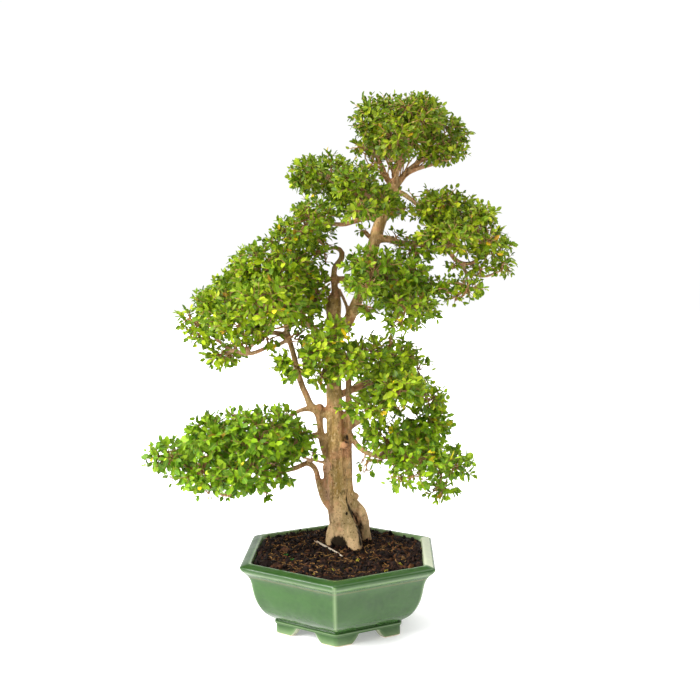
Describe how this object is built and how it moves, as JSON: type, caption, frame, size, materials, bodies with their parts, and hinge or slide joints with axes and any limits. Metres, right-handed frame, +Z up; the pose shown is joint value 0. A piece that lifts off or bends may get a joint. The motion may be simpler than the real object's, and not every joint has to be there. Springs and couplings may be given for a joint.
{
  "type": "potted privet bonsai tree",
  "caption": "Privet bonsai: a tapering trunk with a slimmer one beside it, leafy pads on trained branches, in a green glazed hexagonal pot on bracket feet.",
  "frame": {"origin": "centre of the overall bounding box in plan, on the ground that the pot's feet stand on", "axes": "+Z up; +X to the right and -Y towards the viewer, as the picture shows the tree"},
  "size_m": [0.5376, 0.3386, 0.747],
  "materials": {
    "glaze": "smooth mid-green glaze, thin and pale at the edges, with bare cream clay under the feet",
    "soil": "damp dark bark-based potting soil, rough, with fibres",
    "bark": "tan bark, finely wrinkled, matt",
    "leaves": "fresh green oval leaves with a slight sheen",
    "mesh_plastic": "black plastic mesh"
  },
  "bodies": {
    "root": {"drainage_mesh_left": "mesh_plastic", "drainage_mesh_right": "mesh_plastic", "pot": "glaze", "soil": "soil", "spray_centre": "leaves", "spray_centre_back": "leaves", "spray_crown": "leaves", "spray_left_back": "leaves", "spray_left_large": "leaves", "spray_left_shoulder": "leaves", "spray_left_under": "leaves", "spray_low_left": "leaves", "spray_right_back": "leaves", "spray_right_low": "leaves", "spray_right_middle": "leaves", "spray_right_small": "leaves", "spray_right_upper": "leaves", "spray_trunk_front": "leaves", "spray_upper_back": "leaves", "spray_upper_front": "leaves", "spray_upper_left": "leaves", "tree": "bark"}
  },
  "joints": []
}
